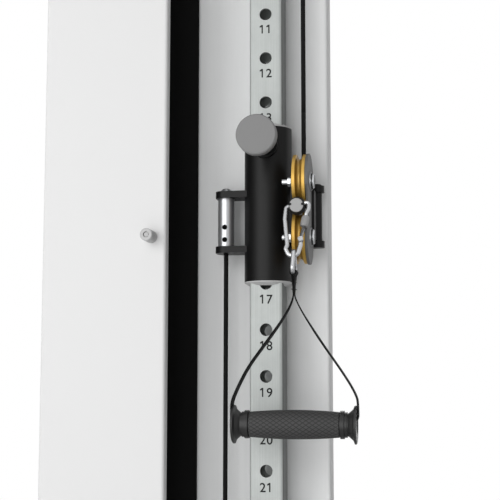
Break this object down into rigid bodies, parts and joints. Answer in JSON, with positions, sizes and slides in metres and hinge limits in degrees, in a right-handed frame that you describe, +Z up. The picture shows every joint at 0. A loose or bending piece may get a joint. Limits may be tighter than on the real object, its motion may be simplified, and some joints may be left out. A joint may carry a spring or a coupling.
{
  "type": "wall pulley weight stack",
  "caption": "Wall-hung cable pulley tower with an enclosed weight stack, a height-adjustable carriage on a perforated rail, a swivelling pulley block and a webbing handle.",
  "frame": {"origin": "on the wall plane at the back face of the back plate, on the centre line of the slide rail, level with the lower row of wall bolts", "axes": "+Z up along the rail, +Y into the wall, +X to the right as the user faces the wall"},
  "size_m": [0.3757, 0.18, 2.2],
  "materials": {
    "white_paint": "satin",
    "grey_paint": "satin",
    "black_paint": "satin",
    "dark_plate": "matte",
    "inner_steel": "matte",
    "plated_rail": "satin",
    "bright_steel": "polished",
    "gold_aluminium": "satin",
    "light_plastic": "satin",
    "knob_plastic": "matte",
    "dark_plastic": "matte",
    "glide_plastic": "matte",
    "black_rubber": "matte",
    "grip_rubber": "matte",
    "rope_cord": "matte",
    "webbing": "matte",
    "cast_plate": "matte"
  },
  "bodies": {
    "tower": {"back_plate": "inner_steel", "stack_liner": "black_paint", "stack_cover": "white_paint", "rail_panel": "grey_paint", "head_frame": "inner_steel", "base_frame": "inner_steel", "head_cover": "white_paint", "base_cover": "white_paint", "slide_rail": "plated_rail", "rail_standoffs": "inner_steel", "guide_rods": "bright_steel", "stack_buffers": "black_rubber", "resting_plates": "cast_plate", "pulley_axles": "bright_steel", "accessory_peg": "dark_plastic", "rope_head": "rope_cord", "rope_return": "rope_cord", "rope_stack": "rope_cord", "rope_right": "rope_cord", "rope_left": "rope_cord"},
    "carriage": {"carriage_sleeve": "black_paint", "sleeve_caps": "light_plastic", "glide_pads": "glide_plastic", "plunger_housing": "black_paint", "left_bracket": "black_paint", "rope_anchor": "bright_steel", "anchor_fasteners": "bright_steel", "right_bracket": "black_paint", "swivel_pin": "black_paint"},
    "plunger": {"pull_knob": "knob_plastic", "plunger_pin": "bright_steel"},
    "pulley_block": {"side_plates": "dark_plate", "swivel_barrel": "black_paint", "wheel_fasteners": "bright_steel", "wheel_bushes": "bright_steel", "rope_lead": "rope_cord"},
    "upper_roller": {"upper_wheel": "gold_aluminium"},
    "lower_roller": {"lower_wheel": "gold_aluminium"},
    "rope_ball": {"ball_stop": "black_rubber", "ball_face": "light_plastic", "rope_end": "rope_cord"},
    "carabiner": {"carabiner_body": "bright_steel"},
    "gate": {"carabiner_gate": "bright_steel", "gate_sleeve": "bright_steel"},
    "handle": {"handle_link": "bright_steel", "handle_strap": "webbing", "handle_core": "dark_plastic"},
    "grip": {"hand_grip": "grip_rubber"},
    "stack": {"lifted_plates": "cast_plate", "selector_stem": "bright_steel", "float_bracket": "black_paint", "rope_float": "rope_cord"},
    "selector": {"selector_pin": "bright_steel"},
    "float_wheel": {"float_pulley": "dark_plastic"},
    "head_wheel_right": {"head_pulley_right": "dark_plastic"},
    "head_wheel_middle": {"head_pulley_middle": "dark_plastic"},
    "head_wheel_left": {"head_pulley_left": "dark_plastic"},
    "base_wheel_left": {"base_pulley_left": "dark_plastic"},
    "base_wheel_right": {"base_pulley_right": "dark_plastic"}
  },
  "joints": [
    {"name": "carriage_slide", "type": "slide", "parent": "tower", "child": "carriage", "axis": [0, 0, 1], "range_m": [-0.88, 0.66], "deforming": ["rope_right", "rope_left"]},
    {"name": "pull_pin", "type": "slide", "parent": "carriage", "child": "plunger", "axis": [0, 1, 0], "range_m": [0, 0.013]},
    {"name": "block_swivel", "type": "hinge", "parent": "carriage", "child": "pulley_block", "pos_m": [0.0595, -0.065, 1.16135], "axis": [0, 0, 1], "range_deg": [-3, 60]},
    {"name": "upper_wheel_spin", "type": "hinge", "parent": "pulley_block", "child": "upper_roller", "pos_m": [0.045, -0.11, 1.198], "axis": [1, 0, 0], "continuous": true},
    {"name": "lower_wheel_spin", "type": "hinge", "parent": "pulley_block", "child": "lower_roller", "pos_m": [0.045, -0.11, 1.132], "axis": [1, 0, 0], "continuous": true},
    {"name": "handle_pull", "type": "slide", "parent": "pulley_block", "child": "rope_ball", "axis": [0, -1, 0], "range_m": [0, 2.4]},
    {"name": "carabiner_swing", "type": "hinge", "parent": "rope_ball", "child": "carabiner", "pos_m": [0.0435, -0.1376, 1.1662], "axis": [-1, 0, 0], "range_deg": [0, 75]},
    {"name": "gate_open", "type": "hinge", "parent": "carabiner", "child": "gate", "pos_m": [0.0494, -0.15226, 1.1241], "axis": [0, -0.9444, 0.3289], "range_deg": [0, 12], "stiffness_Nm_per_rad": 0.02, "springref_deg": -14.32},
    {"name": "handle_swing", "type": "hinge", "parent": "carabiner", "child": "handle", "pos_m": [0.0424, -0.1587, 1.1056], "axis": [-1, 0, 0], "range_deg": [-5, 80]},
    {"name": "grip_spin", "type": "hinge", "parent": "handle", "child": "grip", "pos_m": [0.0424, -0.1587, 0.917], "axis": [1, 0, 0], "continuous": true},
    {"name": "stack_lift", "type": "slide", "parent": "tower", "child": "stack", "axis": [0, 0, 1], "range_m": [0, 1.2], "deforming": ["rope_stack"]},
    {"name": "selector_slide", "type": "slide", "parent": "stack", "child": "selector", "axis": [1, 0, 0], "range_m": [0, 0.045]},
    {"name": "float_spin", "type": "hinge", "parent": "stack", "child": "float_wheel", "pos_m": [-0.18, -0.0809, 0.622], "axis": [0, 1, 0], "continuous": true},
    {"name": "head_right_spin", "type": "hinge", "parent": "tower", "child": "head_wheel_right", "pos_m": [0.019, -0.0809, 2.045], "axis": [0, 1, 0], "continuous": true},
    {"name": "head_middle_spin", "type": "hinge", "parent": "tower", "child": "head_wheel_middle", "pos_m": [-0.128, -0.0809, 2.045], "axis": [0, 1, 0], "continuous": true},
    {"name": "head_left_spin", "type": "hinge", "parent": "tower", "child": "head_wheel_left", "pos_m": [-0.228, -0.0809, 2.045], "axis": [0, 1, 0], "continuous": true},
    {"name": "base_left_spin", "type": "hinge", "parent": "tower", "child": "base_wheel_left", "pos_m": [-0.224, -0.0809, 0.022], "axis": [0, 1, 0], "continuous": true},
    {"name": "base_right_spin", "type": "hinge", "parent": "tower", "child": "base_wheel_right", "pos_m": [-0.078, -0.0809, 0.022], "axis": [0, 1, 0], "continuous": true}
  ],
  "couplings": [
    {"joint": "handle_pull", "follows": "stack_lift", "ratio": 2},
    {"joint": "upper_wheel_spin", "follows": "stack_lift", "rad_per_m": -68.728},
    {"joint": "float_spin", "follows": "stack_lift", "rad_per_m": -38.462},
    {"joint": "head_right_spin", "follows": "stack_lift", "rad_per_m": 76.923},
    {"joint": "head_middle_spin", "follows": "stack_lift", "rad_per_m": 76.923},
    {"joint": "head_left_spin", "follows": "carriage_slide", "rad_per_m": -45.455},
    {"joint": "base_left_spin", "follows": "carriage_slide", "rad_per_m": -38.462},
    {"joint": "base_right_spin", "follows": "carriage_slide", "rad_per_m": -38.462}
  ]
}
